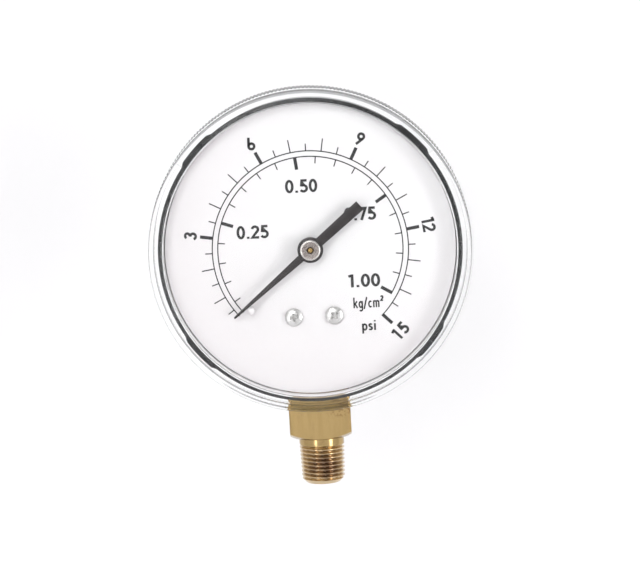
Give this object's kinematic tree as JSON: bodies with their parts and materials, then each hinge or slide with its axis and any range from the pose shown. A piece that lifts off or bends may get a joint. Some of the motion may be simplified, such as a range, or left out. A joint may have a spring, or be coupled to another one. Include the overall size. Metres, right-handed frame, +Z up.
{
  "type": "pressure gauge",
  "caption": "Round Bourdon-tube pressure gauge with a clear twist-off lens, dial and pointer, geared movement, and a brass bottom stem with a square wrench block.",
  "frame": {"origin": "centre of the inlet thread at its lower end, on the stem axis", "axes": "+Z up along the stem, away from the thread; the dial faces -Y; +X is to the right of a person who reads the dial"},
  "size_m": [0.0748, 0.0267, 0.093],
  "materials": {
    "case_enamel": "gloss black enamel on drawn steel",
    "screw_steel": "zinc-plated",
    "lens_plastic": "clear moulded polycarbonate",
    "dial_enamel": "satin white enamel",
    "socket_brass": "machined, tarnished on the thread",
    "tube_bronze": "drawn phosphor bronze",
    "movement_brass": "stamped and turned brass",
    "pin_steel": "polished steel",
    "pointer_enamel": "satin black enamel on aluminium",
    "bushing_nickel": "turned, nickel-plated"
  },
  "bodies": {
    "gauge_body": {"case": "case_enamel", "case_screws": "screw_steel", "dial": "dial_enamel", "dial_screws": "screw_steel", "stop_pin": "dial_enamel", "socket": "socket_brass", "bourdon_tube": "tube_bronze", "hairspring": "tube_bronze", "hairspring_stud": "movement_brass", "front_plate": "movement_brass", "back_plate": "movement_brass", "pillars": "movement_brass", "plate_screws": "screw_steel", "movement_screws": "screw_steel"},
    "lens_ring": {"lens": "lens_plastic"},
    "pointer_set": {"pinion": "movement_brass", "hairspring_collet": "movement_brass", "pointer": "pointer_enamel", "pointer_bushing": "bushing_nickel"},
    "sector_set": {"sector_gear": "movement_brass", "sector_arbor": "pin_steel", "tail_pin": "pin_steel"},
    "link_set": {"link": "movement_brass"},
    "tip_set": {"tube_tip": "movement_brass", "tip_pin": "pin_steel"}
  },
  "joints": [
    {"name": "pointer_turn", "type": "hinge", "parent": "gauge_body", "child": "pointer_set", "pos_m": [0, 0, 0.0544], "axis": [0, 1, 0], "range_deg": [0, 264.5], "deforming": ["hairspring"]},
    {"name": "sector_swing", "type": "hinge", "parent": "gauge_body", "child": "sector_set", "pos_m": [0, 0, 0.04065], "axis": [0, 1, 0], "range_deg": [-26.5, 0]},
    {"name": "link_swing", "type": "hinge", "parent": "sector_set", "child": "link_set", "pos_m": [-0.00114, 0, 0.03578], "axis": [0, 1, 0], "range_deg": [0, 20.5]},
    {"name": "tube_tip_flex", "type": "hinge", "parent": "gauge_body", "child": "tip_set", "pos_m": [-0.0018, 0, 0.0596], "axis": [0, 1, 0], "range_deg": [-5.5, 0], "deforming": ["bourdon_tube"]},
    {"name": "lens_twist", "type": "hinge", "parent": "gauge_body", "child": "lens_ring", "pos_m": [0, 0, 0.0544], "axis": [0, 1, 0], "range_deg": [-22, 0]}
  ],
  "couplings": [
    {"joint": "sector_swing", "follows": "pointer_turn", "ratio": -0.1},
    {"joint": "link_swing", "follows": "pointer_turn", "ratio": 0.07703},
    {"joint": "tube_tip_flex", "follows": "pointer_turn", "ratio": -0.020544}
  ]
}
